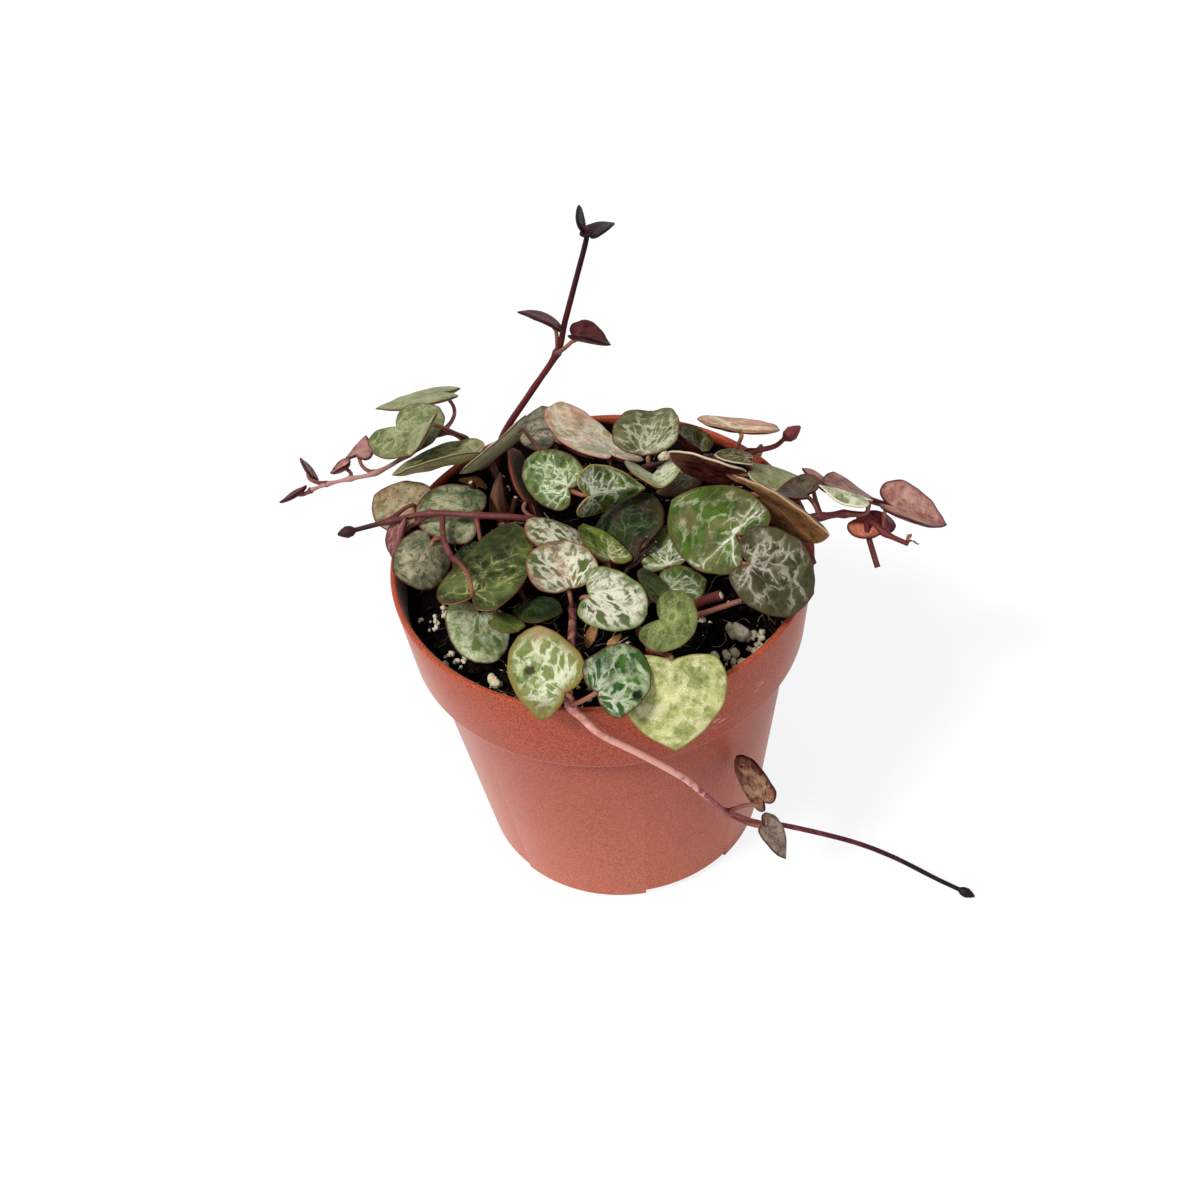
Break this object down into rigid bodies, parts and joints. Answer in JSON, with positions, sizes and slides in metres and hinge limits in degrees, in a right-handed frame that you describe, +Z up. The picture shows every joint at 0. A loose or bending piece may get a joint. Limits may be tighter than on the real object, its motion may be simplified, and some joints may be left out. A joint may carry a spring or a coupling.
{
  "type": "potted string of hearts",
  "caption": "Small trailing succulent with marbled heart-shaped leaves on thin stems, planted in soil in a tapered plastic nursery pot that stands on its base.",
  "frame": {"origin": "on the pot's axis, on the surface that the pot stands on", "axes": "+Z up along the pot's axis; -Y is the front, the side over which one vine trails; +X is right seen from the front"},
  "size_m": [0.0986, 0.0729, 0.0956],
  "materials": {
    "pot": "matte moulded plastic",
    "soil": "loose dark peat with pale grit",
    "stem": "smooth dull stem",
    "leaf": "waxy succulent blade with a pale network",
    "sheath": "dry papery sheath"
  },
  "bodies": {
    "root": {"dry_sheath": "sheath", "leaf_back_right_1": "leaf", "leaf_back_right_2": "leaf", "leaf_back_right_3": "leaf", "leaf_back_right_4": "leaf", "leaf_back_right_5": "leaf", "leaf_broad_1": "leaf", "leaf_broad_2": "leaf", "leaf_centre_1": "leaf", "leaf_centre_2": "leaf", "leaf_centre_3": "leaf", "leaf_centre_4": "leaf", "leaf_centre_5": "leaf", "leaf_centre_6": "leaf", "leaf_centre_8": "leaf", "leaf_centre_9": "leaf", "leaf_crown_1": "leaf", "leaf_crown_2": "leaf", "leaf_crown_3": "leaf", "leaf_crown_4": "leaf", "leaf_crown_5": "leaf", "leaf_crown_6": "leaf", "leaf_crown_7": "leaf", "leaf_crown_8": "leaf", "leaf_front_1": "leaf", "leaf_front_2": "leaf", "leaf_front_3": "leaf", "leaf_front_left_1": "leaf", "leaf_front_left_2": "leaf", "leaf_front_left_4": "leaf", "leaf_left_1": "leaf", "leaf_left_2": "leaf", "leaf_left_3": "leaf", "leaf_left_4": "leaf", "leaf_left_5": "leaf", "leaf_left_7": "leaf", "leaf_left_back_1": "leaf", "leaf_left_back_2": "leaf", "leaf_left_back_3": "leaf", "leaf_right_1": "leaf", "leaf_right_2": "leaf", "leaf_right_4": "leaf", "leaf_right_5": "leaf", "leaf_right_8": "leaf", "leaf_tall_1": "leaf", "leaf_tall_2": "leaf", "leaf_trailing_1": "leaf", "leaf_trailing_2": "leaf", "pot": "pot", "soil": "soil", "vine_back_right": "stem", "vine_broad": "stem", "vine_crown": "stem", "vine_front_left": "stem", "vine_left": "stem", "vine_left_back": "stem", "vine_middle": "stem", "vine_right": "stem", "vine_tall": "stem", "vine_trailing": "stem"}
  },
  "joints": []
}
